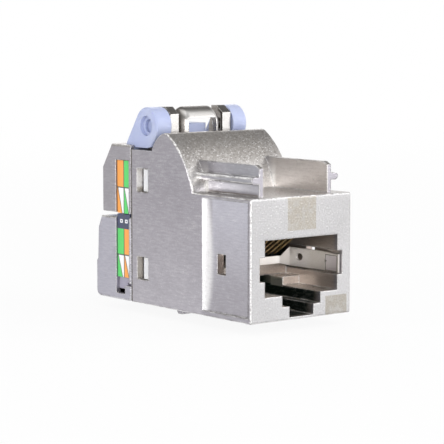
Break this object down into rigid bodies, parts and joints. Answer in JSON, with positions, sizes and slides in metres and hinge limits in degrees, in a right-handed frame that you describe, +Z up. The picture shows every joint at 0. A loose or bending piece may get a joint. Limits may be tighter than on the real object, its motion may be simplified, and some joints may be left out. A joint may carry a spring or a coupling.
{
  "type": "ethernet socket",
  "caption": "Shielded snap-in ethernet socket with a die-cast metal body, an open port with spring contacts, guide rails on top and two hinged rear jaws that press wires onto blades.",
  "frame": {"origin": "middle of the port's mouth, on the front face", "axes": "+X to the plug's right, +Y along the plug's way in towards the cable, +Z up, away from the latch notch"},
  "size_m": [0.0162, 0.0323, 0.0268],
  "materials": {
    "cast_nickel": "satin nickel plated zinc casting",
    "jaw_nickel": "satin nickel plated zinc casting",
    "contact_gold": "gold plated spring wire",
    "blade_tin": "tin plated bronze",
    "clip_steel": "bright stainless spring strip",
    "yoke_steel": "bright nickel plated sheet",
    "pin_steel": "plain steel",
    "insert_black": "black moulding",
    "board_green": "green solder mask",
    "block_white": "white moulding",
    "holder_lilac": "pale lilac blue moulding",
    "colour_card": "printed card in wire colours"
  },
  "bodies": {
    "socket_body": {"circuit_board": "board_green", "contact_carrier": "insert_black", "ground_clip": "clip_steel", "hinge_pin_left": "pin_steel", "hinge_pin_right": "pin_steel", "hinge_yoke": "yoke_steel", "idc_terminal_1": "blade_tin", "idc_terminal_2": "blade_tin", "idc_terminal_3": "blade_tin", "idc_terminal_4": "blade_tin", "idc_terminal_5": "blade_tin", "idc_terminal_6": "blade_tin", "idc_terminal_7": "blade_tin", "idc_terminal_8": "blade_tin", "jack_body": "cast_nickel", "jack_contact_1": "contact_gold", "jack_contact_2": "contact_gold", "jack_contact_3": "contact_gold", "jack_contact_4": "contact_gold", "jack_contact_5": "contact_gold", "jack_contact_6": "contact_gold", "jack_contact_7": "contact_gold", "jack_contact_8": "contact_gold", "lower_hinge_pin": "pin_steel", "terminal_block": "block_white"},
    "upper_clamp": {"upper_jaw": "jaw_nickel", "upper_wire_holder": "holder_lilac", "upper_label_left": "colour_card", "upper_label_right": "colour_card"},
    "lower_clamp": {"lower_jaw": "jaw_nickel", "lower_wire_holder": "holder_lilac", "lower_label_left": "colour_card", "lower_label_right": "colour_card"}
  },
  "joints": [
    {"name": "upper_jaw_hinge", "type": "hinge", "parent": "socket_body", "child": "upper_clamp", "pos_m": [0, 0.022, 0.01644], "axis": [1, 0, 0], "range_deg": [0, 90]},
    {"name": "lower_jaw_hinge", "type": "hinge", "parent": "socket_body", "child": "lower_clamp", "pos_m": [0, 0.02522, -0.00581], "axis": [-1, 0, 0], "range_deg": [0, 85]}
  ]
}
